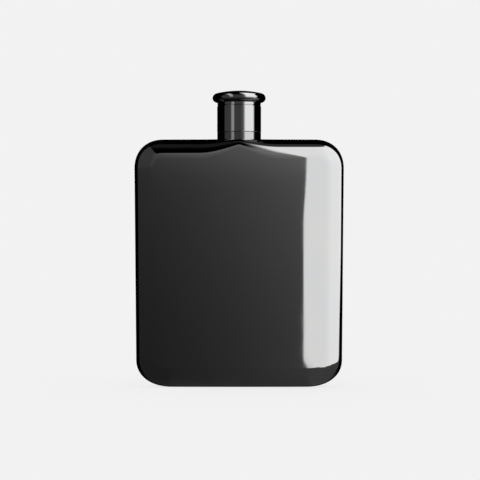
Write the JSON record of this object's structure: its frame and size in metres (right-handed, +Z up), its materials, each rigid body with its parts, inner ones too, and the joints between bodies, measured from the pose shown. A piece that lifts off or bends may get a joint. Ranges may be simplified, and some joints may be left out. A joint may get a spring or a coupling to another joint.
{
  "type": "hip flask",
  "caption": "Slim mirror-polished hip flask in dark steel with rounded edges, a short round neck and a lipped screw cap.",
  "frame": {"origin": "middle of the flat foot that the flask stands on", "axes": "+Z up along the neck, +X to the right as seen from the front, +Y to the rear; the front faces -Y"},
  "size_m": [0.0952, 0.0242, 0.1345],
  "materials": {
    "polished_dark_steel": "mirror polished, gunmetal plated stainless steel",
    "bare_steel": "turned stainless steel, satin",
    "moulded_liner": "moulded polypropylene, satin black",
    "silicone_seal": "translucent white silicone, matte"
  },
  "bodies": {
    "flask": {"front_shell": "polished_dark_steel", "rear_shell": "polished_dark_steel", "seam_weld": "polished_dark_steel", "neck_collar": "polished_dark_steel", "neck_spout": "bare_steel", "neck_weld": "bare_steel"},
    "cap_seal": {"cap_gasket": "silicone_seal"},
    "cap": {"cap_head": "polished_dark_steel", "cap_sleeve": "polished_dark_steel", "cap_insert": "moulded_liner"}
  },
  "joints": [
    {"name": "cap_rise", "type": "slide", "parent": "flask", "child": "cap_seal", "axis": [0, 0, 1], "range_m": [0, 0.015]},
    {"name": "cap_turn", "type": "hinge", "parent": "cap_seal", "child": "cap", "pos_m": [0, 0, 0.12], "axis": [0, 0, 1], "range_deg": [0, 2160]}
  ],
  "couplings": [
    {"joint": "cap_rise", "follows": "cap_turn", "m_per_rad": 0.00039789}
  ]
}
